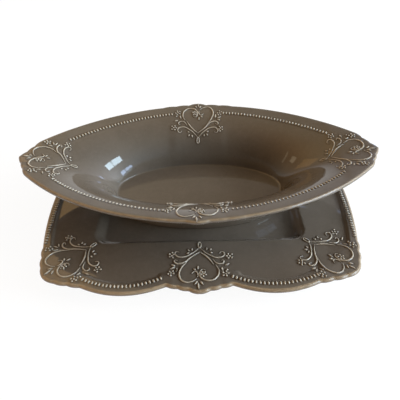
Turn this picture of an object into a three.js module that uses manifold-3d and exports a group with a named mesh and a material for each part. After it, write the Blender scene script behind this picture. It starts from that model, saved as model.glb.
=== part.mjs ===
// Vegetable serving dish: a boat-shaped bowl that stands in the well of its matching platter.
// Both are glazed stoneware, each fired in one piece. Millimetres, +Z up.
// Origin on the table, under the middle of the platter, with +X along the bowl.
import * as THREE from 'three';
import Module from 'manifold-3d';

// Bowl
const bowlLength = 380; // tip to tip
const bowlWidth = 203; // across the two side arcs, crests not counted
const bowlDepth = 51; // inside floor up to the rim
const floorLength = 186; // oval inside floor
const floorWidth = 90;
const wallSpring = 0.32; // small values stand the wall up steeply before it spreads into the rim
const tipRounding = 0.07; // how softly the two side walls run into each other at the tips
const bowlWall = 5;
const bowlFloorWall = 5.5;
const bowlLip = 4.4; // thickness of the rounded lip
const bowlFootHeight = 9.2;
const bowlFootStep = 5; // foot ring outside the edge of the inside floor
const bowlFootWidth = 6;

// Platter
const platterLength = 332; // across the short sides at their fullest
const platterDepth = 272; // across the crests of the long sides
const cornerInX = 19; // corner crest inside the overall length and depth
const cornerInY = 20;
const wellSink = 8; // flange down to the well floor
const wellLean = 7; // how far the well wall leans out from floor to flange
const wellCorner = 14; // corner radius of the well at the flange
const wellEndPlay = 2; // well floor clear of the bowl's foot at its ends
const wellSidePlay = 16; // and along its sides
const scallopBulge = 9.3; // long-side scallops between mid crest and corner crest
const borderRise = 2; // beaded border above the flange
const borderStart = 0.72; // share of the flange width where the border starts to rise
const borderCrown = 0.86; // and where it is level again
const shoulderShare = 0.06; // share of the flange width taken by the rounded edge of the well
const platterWall = 5;
const platterLip = 4.6;
const platterFootHeight = 6;
const platterFootInset = 4; // foot ring inside the edge of the well floor
const platterFootWidth = 5;
const platterFootCorner = 10;

// Band along the bowl's sides, flatter than the wall inside it and edged by the beads
const bandWidth = 14;
const bandRise = 3.2;
const bandSpring = 0.5; // as wallSpring, for the wall inside the band
const bandFrom = 31; // starts this far off mid length
const bandStop = 30; // and ends this far short of the tips' shoulders
const bandFade = 6;

// Bead rows, each a plain ridge
const beadRise = 1.1;
const beadHalfWidth = 1.7;
const beadDrawnIn = 1.9; // a row on the bowl leaves the edge of the band by this at its outer end
const longBeadIn = 7.2; // rows inside the cusps of the platter's long sides
const longBeadFlat = 0.7; // less swell than the scallop outside it
const midBeadStop = 4.6; // and short of the cusps at mid length
const cornerBeadStop = 2; // and at the corners
const shortBeadIn = 1.8; // rows inside the cusps of the short sides
const shortBeadFlat = 4.6;
const shortBeadStop = 5.5;

// Heart ornament, the same on every crest: ridges along lines drawn on a grid, with x across
// the crest's axis and y out from the ornament's eyelet
const ornamentGrid = 1; // side of a grid square
const ornamentRise = 0.9;
const ornamentHalfWidth = 0.9;
const ornamentLines = [
  [[0.2, 0], [0, 7]],
  [[0, 7], [-7, 13.8], [-16.5, 18.6], [-22.8, 16.4], [-23.2, 11.8], [-19.5, 12.4]],
  [[0, 7], [9.5, 16.3], [19, 19.9], [24.4, 16], [21.8, 12.6], [19.2, 15]],
  [[0.2, 12.4], [-8, 18.5], [-16.5, 25.9], [-23, 25.6], [-24, 22.3], [-20.9, 23]],
  [[-11.9, 23.9], [-17.6, 33], [-18.7, 42], [-14, 48.9], [-7, 48.6], [-2.7, 45.3]],
  [[0.2, 12.4], [7.4, 18.9], [13.4, 28.2]],
  [[15.3, 28.8], [18.1, 36.5], [15.2, 45], [8.6, 47.9], [1.8, 44.6], [0.3, 38], [3.4, 33.9]],
  [[-1.5, 48.5], [-0.8, 54.5]],
];
// Eyelets from the inner edge of the lip, measured over the glaze
const bowlSideEyelet = 57.6;
const bowlEndEyelet = 56.3;
const platterMidEyelet = 54.5;
const platterCornerEyelet = 55.8;
const ridgeRoot = 0.8; // how deep a ridge is rooted in the wall

// The bowl stands on the well floor with this much air under its foot
const seatGap = 0.3;
// Small bevel along the standing edge of both foot rings
const footBevel = 1;

// Crests: each is a middle lobe with two ripples either side of it.
// Half width of the lobe, width of a ripple, how far lobe and first notch stand out from the
// line that the crest grows from, and how far each of its curves swells.
const bowlSideCrest = { lobe: 10.5, ripple: 16.25, rise: 3.3, notch: 0.9, bulge: 0.7 };
const bowlEndCrest = { lobe: 10, ripple: 10, rise: 15.6, notch: 10.4, bulge: 0.6 };
const platterMidCrest = { lobe: 10, ripple: 10.2, rise: 8.5, notch: 5, bulge: 1.1 };
const platterCornerCrest = { lobe: 12.4, ripple: 10.6, rise: 18.7, notch: 14.1, bulge: 1.1 };

// Facets
const rippleSteps = 3;
const scallopSteps = 6;
const sideSteps = 8;
const bowlArcSteps = 10;
const lipTurns = [90, 45, 0, -45, -90]; // degrees round the half-round lips
const wallStations = [0.07, 0.16, 0.3, 0.5];
const outsideStations = [0.77, 0.5, 0.3, 0.16];
const bowlBeadSteps = 6;
const longBeadSteps = 4;
const shortBeadSteps = 6;
const walkStep = 1; // over the glaze, to measure it

const glaze = { color: 0x6f655b, roughness: 0.2, metalness: 0 };

// Heights above the table
const wellFloorZ = platterFootHeight + platterWall;
const flangeZ = wellFloorZ + wellSink;
const bowlFootZ = wellFloorZ + seatGap;
const bowlUnderZ = bowlFootZ + bowlFootHeight;
const bowlFloorZ = bowlUnderZ + bowlFloorWall;

// Radius of an oval in a direction, given by its cosine and sine
function ovalRadius(halfLength, halfWidth, c, s) {
  return (halfLength * halfWidth) / Math.hypot(halfWidth * c, halfLength * s);
}

// Radius of a rectangle with rounded corners in a direction
function roundedRectangleRadius(halfLength, halfWidth, corner, c, s) {
  const toEnd = halfLength / Math.abs(c);
  const toSide = halfWidth / Math.abs(s);
  if (toEnd * Math.abs(s) <= halfWidth - corner) return toEnd;
  if (toSide * Math.abs(c) <= halfLength - corner) return toSide;
  const centre = new THREE.Vector2(halfLength - corner, halfWidth - corner);
  const along = Math.abs(c) * centre.x + Math.abs(s) * centre.y;
  return along + Math.sqrt(along * along - centre.lengthSq() + corner * corner);
}

// The bowl's sides are two circular arcs, from the shoulders of one tip crest to those of the
// other: their radius and how far their centres lie behind the middle line
const shoulderX = bowlLength / 2 - bowlEndCrest.rise;
const shoulderY = bowlEndCrest.lobe + 2 * bowlEndCrest.ripple;
const arcRise = bowlWidth / 2 - shoulderY;
const arcRadius = (shoulderX ** 2 + arcRise ** 2) / (2 * arcRise);
const arcSetBack = arcRadius - bowlWidth / 2;

function arcHalfWidth(x) {
  return Math.sqrt(arcRadius ** 2 - x ** 2) - arcSetBack;
}

// Share of the band at a place along the bowl
const bandTo = shoulderX - bandStop;

function bandShare(x) {
  const { smoothstep } = THREE.MathUtils;
  const along = Math.abs(x);
  const started = smoothstep(along, bandFrom - bandFade, bandFrom + bandFade);
  return started * (1 - smoothstep(along, bandTo - bandFade, bandTo + bandFade));
}

// Radius of the line that the rim's height follows, rounded where the arcs would cross
function bowlPlanRadius(c, s) {
  return Math.sqrt(arcRadius ** 2 - (arcSetBack * c) ** 2) - arcSetBack * Math.hypot(s, tipRounding);
}

// Curve from one point to the next that swells to the left by a given amount
function swell(from, to, bulge) {
  const chord = to.clone().sub(from);
  const left = new THREE.Vector2(-chord.y, chord.x).normalize();
  const middle = from.clone().add(to).multiplyScalar(0.5).addScaledVector(left, 2 * bulge);
  return new THREE.QuadraticBezierCurve(from, middle, to);
}

// Half a crest, from its tip to its outer cusp: x across its axis, y out along the axis.
// It grows from a line given as a function of x.
function halfCrest({ lobe, ripple, rise, notch, bulge }, line) {
  const across = [0, lobe, lobe + ripple, lobe + 2 * ripple];
  const proud = [rise, notch, notch / 2, 0];
  const knots = across.map((x, i) => new THREE.Vector2(x, line(x) + proud[i]));
  const points = [knots[0]];
  for (let i = 1; i < knots.length; i += 1) {
    points.push(...swell(knots[i - 1], knots[i], bulge).getPoints(rippleSteps).slice(1));
  }
  return points;
}

// Whole outline, anticlockwise, from its first quarter, which runs from the X axis to the Y axis
function mirrorQuarter(quarter) {
  const inner = quarter.slice(1, -1);
  const flip = (points, x, y) => points.map((p) => new THREE.Vector2(p.x * x, p.y * y));
  const reversed = [...inner].reverse();
  return [
    ...quarter,
    ...flip(reversed, -1, 1),
    ...flip(quarter.slice(0, 1), -1, 1),
    ...flip(inner, -1, -1),
    ...flip(quarter.slice(-1), 1, -1),
    ...flip(reversed, 1, -1),
  ];
}

// Rim of the bowl: crests at the tips and at mid length, plain arcs between them
function bowlOutline() {
  const end = halfCrest(bowlEndCrest, () => shoulderX).map((p) => new THREE.Vector2(p.y, p.x));
  const side = halfCrest(bowlSideCrest, arcHalfWidth).reverse();
  const from = end.at(-1).x;
  const to = side[0].x;
  const arc = [];
  for (let i = 1; i < bowlArcSteps; i += 1) {
    const x = from + ((to - from) * i) / bowlArcSteps;
    arc.push(new THREE.Vector2(x, arcHalfWidth(x)));
  }
  return mirrorQuarter([...end, ...arc, ...side]);
}

// Corner crest of the platter, from its cusp on the short side to the one on the long side
const cornerTip = new THREE.Vector2(platterLength / 2 - cornerInX, platterDepth / 2 - cornerInY);
const cornerAxis = new THREE.Vector2(1, 1).normalize();

function platterCorner(crest) {
  const across = new THREE.Vector2(1, -1).normalize();
  const half = halfCrest(crest, () => -platterCornerCrest.rise);
  const place = (p, side) =>
    cornerTip.clone().addScaledVector(cornerAxis, p.y).addScaledVector(across, side * p.x);
  return [...half.map((p) => place(p, 1)).reverse(), ...half.slice(1).map((p) => place(p, -1))];
}

// Half the crest at the middle of a long side, from its cusp to its tip
function platterMid(crest) {
  return halfCrest(crest, () => platterDepth / 2 - platterMidCrest.rise).reverse();
}

// Edge of the platter: a crest at the middle of each long side and at each corner, with
// scallops between them and one long scallop across each short side. The calm outline, which
// the flange follows inside the lip, has no lobes or ripples.
function platterOutline(calm) {
  const shape = (crest) => (calm ? { ...crest, rise: crest.notch, bulge: 0 } : crest);
  const corner = platterCorner(shape(platterCornerCrest));
  const mid = platterMid(shape(platterMidCrest));
  const sideCusp = corner[0];
  const sideBulge = platterLength / 2 - sideCusp.x;
  const oppositeCusp = new THREE.Vector2(sideCusp.x, -sideCusp.y);
  const side = swell(sideCusp, oppositeCusp, sideBulge).getPoints(sideSteps);
  const halfSide = side.slice(0, sideSteps / 2 + 1).reverse();
  const scallop = swell(mid[0], corner.at(-1), scallopBulge).getPoints(scallopSteps).reverse();
  return mirrorQuarter([...halfSide, ...corner.slice(1), ...scallop.slice(1), ...mid.slice(1)]);
}

// Closed skin over a stack of rings, with a flat fan over the first ring and another under the
// last. A ring has as many points as the one before it, or every second one of them.
function loft(rings) {
  const starts = rings.map((_, i) => rings.slice(0, i).flat().length);
  const centres = [rings[0], rings.at(-1)].map((ring) => new THREE.Vector3(0, 0, ring[0].z));
  const points = [...rings.flat(), ...centres];
  const [first, last] = [points.length - 2, points.length - 1];
  const end = rings.length - 1;
  const corner = (i, j) => starts[i] + (j % rings[i].length);
  const index = rings[0].flatMap((_, j) => [first, corner(0, j), corner(0, j + 1)]);
  for (let i = 0; i < end; i += 1) {
    const halved = rings[i + 1].length < rings[i].length;
    for (let j = 0; j < rings[i + 1].length; j += 1) {
      const from = halved ? 2 * j + 1 : j;
      const [low, lowNext] = [corner(i, from), corner(i, from + 1)];
      const [high, highNext] = [corner(i + 1, j), corner(i + 1, j + 1)];
      index.push(low, high, highNext, low, highNext, lowNext);
      if (halved) index.push(corner(i, from - 1), high, low);
    }
  }
  index.push(...rings[end].flatMap((_, j) => [last, corner(end, j + 1), corner(end, j)]));
  const geometry = new THREE.BufferGeometry().setFromPoints(points);
  geometry.setIndex(index);
  return geometry;
}

// Every second one of a list, for the plainer undersides
function everySecond(list) {
  return list.filter((_, i) => i % 2 === 0);
}

// Directions from the middle to each point of an outline, with its distance
function rays(outline) {
  return outline.map((p) => ({ c: p.x / p.length(), s: p.y / p.length(), edge: p.length() }));
}

function at(ray, radius, z) {
  return new THREE.Vector3(ray.c * radius, ray.s * radius, z);
}

// Rings round a half-round lip, from its top to its underside
function lipRings(outline, thickness, topZ) {
  const radius = thickness / 2;
  return lipTurns.map(THREE.MathUtils.degToRad).map((turn) =>
    outline.map((ray) =>
      at(ray, ray.edge - radius * (1 - Math.cos(turn)), topZ(ray) - radius * (1 - Math.sin(turn))),
    ),
  );
}

// Rings of a foot: outer wall down, standing face, inner wall up
function footRings(outline, outer, inner, topZ, footZ, insideZ) {
  return [
    outline.map((ray) => at(ray, outer(ray), topZ)),
    outline.map((ray) => at(ray, outer(ray), footZ + footBevel)),
    outline.map((ray) => at(ray, outer(ray) - footBevel, footZ)),
    outline.map((ray) => at(ray, inner(ray) + footBevel, footZ)),
    outline.map((ray) => at(ray, inner(ray), footZ + footBevel)),
    outline.map((ray) => at(ray, inner(ray), insideZ)),
  ];
}

// The bowl's inside wall springs from the floor oval and spreads into the rim, by way of the
// band along its sides. A station is 0 at the floor and 1 where the rim's arc lies.
function bowl() {
  const outline = rays(bowlOutline());
  const under = everySecond(outline);
  const floorRadius = (ray, grow) =>
    ovalRadius(floorLength / 2 + grow, floorWidth / 2 + grow, ray.c, ray.s);
  const reach = (ray) => bowlPlanRadius(ray.c, ray.s) - floorRadius(ray, 0);
  const lift = (spring, station) => (station * (1 + spring)) / (station + spring);
  const steepness = (station) => (wallSpring * (1 + wallSpring)) / (station + wallSpring) ** 2;
  const crease = (ray) => 1 - bandWidth / reach(ray);
  const bandedLift = (ray, station) => {
    const inner = crease(ray);
    const wall = (bowlDepth - bandRise) * lift(bandSpring, Math.min(station / inner, 1));
    return wall + (bandRise * Math.max(station - inner, 0)) / (1 - inner);
  };
  const topZ = (ray, radius) => {
    const station = (radius - floorRadius(ray, 0)) / reach(ray);
    const plain = bowlDepth * lift(wallSpring, station);
    const banded = bandedLift(ray, station);
    return bowlFloorZ + THREE.MathUtils.lerp(plain, banded, bandShare(ray.c * radius));
  };
  const inside = (ray, station) => {
    const radius = floorRadius(ray, 0) + reach(ray) * station;
    return at(ray, radius, topZ(ray, radius));
  };
  const outside = (ray, station) => {
    const out = reach(ray);
    const up = bowlDepth * steepness(station);
    const slant = Math.hypot(out, up);
    const radius = floorRadius(ray, 0) + out * station;
    return at(
      ray,
      radius + (bowlWall * up) / slant,
      topZ(ray, radius) - (bowlWall * out) / slant,
    );
  };
  const footOuter = (ray) => floorRadius(ray, bowlFootStep);
  const footInner = (ray) => floorRadius(ray, bowlFootStep - bowlFootWidth);
  return loft([
    outline.map((ray) => inside(ray, 0)),
    ...wallStations.map((station) => outline.map((ray) => inside(ray, station))),
    outline.map((ray) => inside(ray, crease(ray))),
    ...lipRings(outline, bowlLip, (ray) => topZ(ray, ray.edge)),
    ...outsideStations.map((station) => under.map((ray) => outside(ray, station))),
    ...footRings(under, footOuter, footInner, bowlUnderZ + bowlFloorWall / 2, bowlFootZ, bowlUnderZ),
  ]);
}

// The platter: a well with leaning walls, a flat flange, a raised border and a scalloped lip.
// A share is 0 at the edge of the well and 1 at the outer edge.
function platter() {
  const outline = rays(platterOutline(false));
  const calm = rays(platterOutline(true));
  const under = everySecond(calm);
  const wellLengthHalf = floorLength / 2 + bowlFootStep + wellEndPlay + wellLean;
  const wellDepthHalf = floorWidth / 2 + bowlFootStep + wellSidePlay + wellLean;
  const wellRadius = (ray, inset, corner) =>
    roundedRectangleRadius(wellLengthHalf - inset, wellDepthHalf - inset, corner, ray.c, ray.s);
  const wellRing = (side, inset, z) =>
    side.map((ray) => at(ray, wellRadius(ray, inset, wellCorner - inset / 2), z));
  const flangeRing = (side, share, z) =>
    side.map((ray) => {
      const inner = wellRadius(ray, 0, wellCorner);
      return at(ray, inner + (ray.edge - inner) * share, z);
    });
  const wellRound = wellLean / 4;
  const borderZ = flangeZ + borderRise;
  const flangeUnderZ = flangeZ - platterWall;
  const footOut = wellLean + platterFootInset;
  const footOuter = (ray) => wellRadius(ray, footOut, platterFootCorner);
  const footInner = (ray) => wellRadius(ray, footOut + platterFootWidth, platterFootCorner / 2);
  return loft([
    wellRing(calm, wellLean, wellFloorZ),
    wellRing(calm, wellLean - wellRound, wellFloorZ + wellRound),
    wellRing(calm, wellRound, flangeZ - wellRound),
    wellRing(calm, 0, flangeZ - wellRound / 4),
    flangeRing(calm, shoulderShare, flangeZ),
    flangeRing(calm, borderStart, flangeZ),
    flangeRing(calm, borderCrown, borderZ),
    ...lipRings(outline, platterLip, () => borderZ),
    flangeRing(under, borderStart, flangeUnderZ),
    wellRing(under, -platterWall, flangeUnderZ),
    wellRing(under, wellLean / 2, platterFootHeight + wellRound),
    ...footRings(under, footOuter, footInner, platterFootHeight, 0, platterFootHeight),
  ]);
}

// Points on the top of a shell, straight under points in plan, with the normals there
function drape(shell, plan) {
  const mesh = new THREE.Mesh(shell);
  const down = new THREE.Vector3(0, 0, -1);
  return plan.map((p) => {
    const above = new THREE.Vector3(p.x, p.y, bowlFloorZ + 2 * bowlDepth);
    const [hit] = new THREE.Raycaster(above, down).intersectObject(mesh);
    return { point: hit.point, normal: hit.face.normal };
  });
}

// Ridge along points of a surface, with a roof-shaped section that roots in the wall
function ridge(path, rise, halfWidth) {
  const spread = (halfWidth * (rise + ridgeRoot)) / rise;
  const last = path.length - 1;
  const sections = path.map(({ point, normal }, i) => {
    const run = path[Math.min(i + 1, last)].point.clone().sub(path[Math.max(i - 1, 0)].point);
    const right = run.cross(normal).normalize().multiplyScalar(spread);
    const root = point.clone().addScaledVector(normal, -ridgeRoot);
    const crown = point.clone().addScaledVector(normal, rise);
    return [crown, root.clone().sub(right), root.clone().add(right)];
  });
  const index = [0, 1, 2, 3 * last, 3 * last + 2, 3 * last + 1];
  for (let i = 0; i < last; i += 1) {
    for (let k = 0; k < 3; k += 1) {
      const here = 3 * i + k;
      const beside = 3 * i + ((k + 1) % 3);
      index.push(here, beside + 3, beside, here, here + 3, beside + 3);
    }
  }
  const geometry = new THREE.BufferGeometry().setFromPoints(sections.flat());
  geometry.setIndex(index);
  return geometry;
}

// Plan distance inside a point for each distance over the glaze, up to the one asked for
function walkIn(shell, from, out, far) {
  const plan = Array.from({ length: Math.ceil(far / walkStep) + 1 }, (_, i) => i * walkStep);
  const path = drape(shell, plan.map((d) => from.clone().addScaledVector(out, -d)));
  const over = [0];
  for (let i = 1; i < path.length; i += 1) {
    over.push(over[i - 1] + path[i].point.distanceTo(path[i - 1].point));
  }
  return (length) => {
    const i = over.findIndex((each) => each >= length);
    if (i < 1) return 0;
    return plan[i] - (walkStep * (over[i] - length)) / (over[i] - over[i - 1]);
  };
}

// Ridges of one ornament, laid inwards from the inner edge of the lip at a crest
function ornament(shell, lipEdge, out, eyelet) {
  const across = new THREE.Vector2(-out.y, out.x);
  const inside = walkIn(shell, lipEdge, out, eyelet);
  return ornamentLines.map((line) => {
    const plan = line.map(([x, y]) =>
      lipEdge
        .clone()
        .addScaledVector(out, -inside(eyelet - y * ornamentGrid))
        .addScaledVector(across, x * ornamentGrid),
    );
    return ridge(drape(shell, plan), ornamentRise, ornamentHalfWidth);
  });
}

// Bead row through points of the first quarter, and its copies in the quarters asked for
function beadRows(shell, points, quarters) {
  return quarters.map(([x, y]) => {
    const plan = points.map((p) => new THREE.Vector2(p.x * x, p.y * y));
    return ridge(drape(shell, plan), beadRise, beadHalfWidth);
  });
}

const allQuarters = [[1, 1], [-1, 1], [-1, -1], [1, -1]];
const bothEnds = [[1, 1], [-1, 1]];

// Relief of the bowl: an ornament at each crest, and bead rows along the band
function bowlRelief(shell) {
  const across = bowlWidth / 2 + bowlSideCrest.rise - bowlLip;
  const along = bowlLength / 2 - bowlLip;
  const lay = (x, y, far, eyelet) => {
    const out = new THREE.Vector2(x, y);
    return ornament(shell, out.clone().multiplyScalar(far), out, eyelet);
  };
  const row = Array.from({ length: bowlBeadSteps + 1 }, (_, i) => {
    const x = THREE.MathUtils.lerp(bandFrom, bandTo, i / bowlBeadSteps);
    const radius = arcRadius - bandWidth - beadDrawnIn * (x / bandTo) ** 2;
    return new THREE.Vector2(x, Math.sqrt(radius ** 2 - x ** 2) - arcSetBack);
  });
  return [
    ...lay(0, 1, across, bowlSideEyelet),
    ...lay(0, -1, across, bowlSideEyelet),
    ...lay(1, 0, along, bowlEndEyelet),
    ...lay(-1, 0, along, bowlEndEyelet),
    ...beadRows(shell, row, allQuarters),
  ];
}

// Relief of the platter: an ornament at each crest, and bead rows along the scallops
function platterRelief(shell) {
  const across = new THREE.Vector2(0, platterDepth / 2 - platterLip);
  const diagonal = cornerTip.clone().addScaledVector(cornerAxis, -platterLip);
  const lay = ([x, y], lipEdge, axis, eyelet) => {
    const side = new THREE.Vector2(x, y);
    return ornament(shell, lipEdge.clone().multiply(side), axis.clone().multiply(side), eyelet);
  };
  const corner = platterCorner(platterCornerCrest);
  const [midCusp] = platterMid(platterMidCrest);
  const [sideCusp] = corner;
  const longFrom = midCusp.clone().add(new THREE.Vector2(midBeadStop, -longBeadIn));
  const longTo = corner.at(-1).clone().add(new THREE.Vector2(-cornerBeadStop, -longBeadIn));
  const shortFrom = sideCusp.clone().sub(new THREE.Vector2(shortBeadIn, shortBeadStop));
  const shortTo = new THREE.Vector2(shortFrom.x, -shortFrom.y);
  const shortSwell = platterLength / 2 - sideCusp.x - shortBeadFlat;
  const longRow = swell(longFrom, longTo, scallopBulge - longBeadFlat).getPoints(longBeadSteps);
  const shortRow = swell(shortFrom, shortTo, shortSwell).getPoints(shortBeadSteps);
  const upright = new THREE.Vector2(0, 1);
  return [
    ...allQuarters.flatMap((each) => lay(each, diagonal, cornerAxis, platterCornerEyelet)),
    ...lay([1, 1], across, upright, platterMidEyelet),
    ...lay([1, -1], across, upright, platterMidEyelet),
    ...beadRows(shell, longRow, allQuarters),
    ...beadRows(shell, shortRow, bothEnds),
  ];
}

const wasm = await Module();
wasm.setup();

function solidOf(geometry) {
  const vertProperties = new Float32Array(geometry.getAttribute('position').array);
  const triVerts = new Uint32Array(geometry.index.array);
  return new wasm.Manifold(new wasm.Mesh({ numProp: 3, vertProperties, triVerts }));
}

// A shell and its relief as one body
function moulded(shell, relief) {
  const whole = relief.reduce((solid, each) => solid.add(solidOf(each)), solidOf(shell));
  const { vertProperties, triVerts } = whole.getMesh();
  const geometry = new THREE.BufferGeometry();
  geometry.setAttribute('position', new THREE.BufferAttribute(vertProperties, 3));
  geometry.setIndex(new THREE.BufferAttribute(triVerts, 1));
  geometry.computeVertexNormals();
  return geometry;
}

function piece(name, shell, relief) {
  const glazed = new THREE.MeshStandardMaterial(glaze);
  const mesh = new THREE.Mesh(moulded(shell, relief(shell)), glazed);
  mesh.name = name;
  return mesh;
}

const servingDish = new THREE.Group();
servingDish.add(
  piece('platter', platter(), platterRelief),
  piece('vegetable_dish', bowl(), bowlRelief),
);

export default servingDish;
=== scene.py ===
"""Vegetable serving dish: a boat-shaped dish of taupe glazed stoneware on its scalloped platter.

Sizes are millimetres unless a name says otherwise; meshes are laid out in metres.
"""

import math

import bpy
import numpy as np
from mathutils import Matrix, Vector
from mathutils.bvhtree import BVHTree
from mathutils.kdtree import KDTree


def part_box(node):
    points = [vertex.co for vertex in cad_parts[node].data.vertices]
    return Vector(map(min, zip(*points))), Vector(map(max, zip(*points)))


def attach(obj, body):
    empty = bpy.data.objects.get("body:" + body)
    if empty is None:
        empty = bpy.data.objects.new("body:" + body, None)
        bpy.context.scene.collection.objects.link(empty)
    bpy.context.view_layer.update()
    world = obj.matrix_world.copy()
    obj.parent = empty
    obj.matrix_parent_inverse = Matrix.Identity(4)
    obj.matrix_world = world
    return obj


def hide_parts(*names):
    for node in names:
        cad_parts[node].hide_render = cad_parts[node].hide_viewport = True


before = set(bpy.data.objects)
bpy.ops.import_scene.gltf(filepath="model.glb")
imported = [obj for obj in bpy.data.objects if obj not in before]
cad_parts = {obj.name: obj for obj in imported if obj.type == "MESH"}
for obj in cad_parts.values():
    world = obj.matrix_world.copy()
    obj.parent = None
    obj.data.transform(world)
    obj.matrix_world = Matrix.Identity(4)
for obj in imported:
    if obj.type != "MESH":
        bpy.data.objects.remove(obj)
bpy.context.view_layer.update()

MM = 0.001
WELD = 1e-6  # metres: points closer than this are one

# Heights that the frame sets
dish_low, dish_high = (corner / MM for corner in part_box("vegetable_dish"))
platter_low, platter_high = (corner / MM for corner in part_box("platter"))

# Dish
DISH_LENGTH = 380
DISH_WIDTH = 203
DISH_DEPTH = 51
FLOOR_LENGTH = 186
FLOOR_WIDTH = 90
FLOOR_FILLET = 1.6
WALL_SPRING = 0.32  # small values stand the wall up steeply before it spreads
TIP_ROUNDING = 0.07  # how softly the two side walls run into each other at the tips
DISH_WALL = 5
DISH_FLOOR_WALL = 5.5
DISH_LIP = 4.4
DISH_FOOT_HEIGHT = 9.2
DISH_FOOT_STEP = 5
DISH_FOOT_WIDTH = 6
BAND_WIDTH = 14  # flatter band outside the pearls
BAND_RISE = 3.2
BAND_SPRING = 0.5  # the wall inside the band
BAND_FROM = 31  # the band runs along the sides between these distances from mid length
BAND_TO = 145
BAND_FADE = 6

# Platter
PLATTER_LENGTH = 332
PLATTER_DEPTH = 272
CORNER_IN_X = 19
CORNER_IN_Y = 20
WELL_SINK = 8
WELL_LEAN = 7
WELL_CORNER = 14
WELL_END_PLAY = 2
WELL_SIDE_PLAY = 16
SCALLOP_BULGE = 9.3
BORDER_RISE = 2
PLATTER_WALL = 5
PLATTER_LIP = 4.6
PLATTER_FOOT_HEIGHT = 6
PLATTER_FOOT_INSET = 4
PLATTER_FOOT_WIDTH = 5
PLATTER_FOOT_CORNER = 10
LONG_PEARL_INSET = 9.3  # pearls inside the edge, on the long and on the short sides
SHORT_PEARL_INSET = 6
BORDER_SLOPE = 3  # width of the slope just inside the pearls
CREST_SLOPE = 30  # and where it spreads out under an ornament
FOOT_BEVEL = 1

# Crests: half width of the middle lobe, width of a ripple, rise of the lobe and of the notch,
# and how far each curve swells
DISH_SIDE_CREST = (10.5, 16.25, 3.3, 0.9, 0.7)
DISH_END_CREST = (10, 10, 15.6, 10.4, 0.6)
PLATTER_MID_CREST = (10, 10.2, 8.5, 5, 1.1)
PLATTER_CORNER_CREST = (12.4, 10.6, 18.7, 14.1, 1.1)
DISH_ROLL = 0.12  # how much the lip's top rolls over a ripple
PLATTER_ROLL = 0.3
ROLL_REACH = 5  # how far the roll runs inwards
DISH_LIP_EDGE = (0.9, 0.4)  # where the glaze runs thin round the lip, up from level, and how widely
PLATTER_LIP_EDGE = (1.0, 0.85)

# Mesh counts
DISH_COLUMNS = 640
PLATTER_COLUMNS = 760
CURVE_STEPS = 24
LIP_STEPS = 8
FLANGE_ROWS = 80
OUTSIDE_ROWS = 22

dish_floor_z = dish_low.z + DISH_FOOT_HEIGHT + DISH_FLOOR_WALL
dish_under_z = dish_low.z + DISH_FOOT_HEIGHT
well_floor_z = PLATTER_FOOT_HEIGHT + PLATTER_WALL
flange_z = well_floor_z + WELL_SINK

# The dish's sides are two circular arcs between the shoulders of its tips
shoulder_x = DISH_LENGTH / 2 - DISH_END_CREST[2]
shoulder_y = DISH_END_CREST[0] + 2 * DISH_END_CREST[1]
arc_rise = DISH_WIDTH / 2 - shoulder_y
arc_radius = (shoulder_x**2 + arc_rise**2) / (2 * arc_rise)
arc_set_back = arc_radius - DISH_WIDTH / 2


# Small helpers


def smooth(values, low, high):
    t = np.clip((values - low) / (high - low), 0, 1)
    return t * t * (3 - 2 * t)


def unit(vectors):
    return vectors / np.linalg.norm(vectors, axis=-1, keepdims=True)


def run_lengths(points):
    """Distances along a line of points, from its first."""
    return np.concatenate(([0], np.cumsum(np.linalg.norm(np.diff(points, axis=0), axis=1))))


def stack(plan, height):
    """Points of a ring from its plan and its height."""
    return np.column_stack((plan, np.broadcast_to(height, len(plan))))


def deselect_all():
    bpy.ops.object.select_all(action="DESELECT")


def take(piece):
    deselect_all()
    piece.select_set(True)
    bpy.context.view_layer.objects.active = piece


def vertex_positions(piece):
    flat = np.empty(len(piece.data.vertices) * 3)
    piece.data.vertices.foreach_get("co", flat)
    return flat.reshape(-1, 3)


def place_vertices(piece, positions):
    piece.data.vertices.foreach_set("co", np.ascontiguousarray(positions).ravel())
    piece.data.update()


def write_attribute(piece, name, values):
    attributes = piece.data.attributes
    attribute = attributes.get(name) or attributes.new(name, "FLOAT", "POINT")
    attribute.data.foreach_set("value", np.ascontiguousarray(values, dtype=np.float32))


def join(pieces, name):
    deselect_all()
    for piece in pieces:
        piece.select_set(True)
    bpy.context.view_layer.objects.active = pieces[0]
    if len(pieces) > 1:
        bpy.ops.object.join()
    pieces[0].name = name
    pieces[0].data.name = name
    return pieces[0]


# Outlines


def swell(start, end, bulge, steps=CURVE_STEPS):
    """Curve that swells to the left of the line from start to end."""
    start = np.asarray(start, float)
    end = np.asarray(end, float)
    chord = end - start
    left = unit(np.array((-chord[1], chord[0])))
    middle = (start + end) / 2 + 2 * bulge * left
    t = np.linspace(0, 1, steps + 1)[:, None]
    return (1 - t) ** 2 * start + 2 * t * (1 - t) * middle + t**2 * end


def half_crest(crest, line):
    """Half a crest from its tip to its outer cusp: across its axis, out along it, and how high
    the lip rolls there, from -1 in a notch to 1 on a ripple."""
    lobe, ripple, rise, notch, bulge = crest
    across = (0, lobe, lobe + ripple, lobe + 2 * ripple)
    proud = (rise, notch, notch / 2, 0)
    knots = [(x, line(x) + out) for x, out in zip(across, proud)]
    rolls = np.linspace(0, 1, CURVE_STEPS + 1)
    arch = 8 * rolls * (1 - rolls) - 1
    parts = []
    for start, end in zip(knots, knots[1:]):
        parts.append(np.column_stack((swell(start, end, bulge), arch)))
    parts[0][:, 2] = np.maximum(parts[0][:, 2], 1 - 2 * rolls)  # the lobe is one roll across its tip
    return np.vstack([parts[0]] + [part[1:] for part in parts[1:]])


def plain_run(points):
    """A stretch without ripples; the roll dies away from the cusps at its ends."""
    lengths = run_lengths(points)
    from_cusp = np.minimum(lengths, lengths[-1] - lengths)
    return np.column_stack((points, -np.exp(-from_cusp / ROLL_REACH)))


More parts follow.
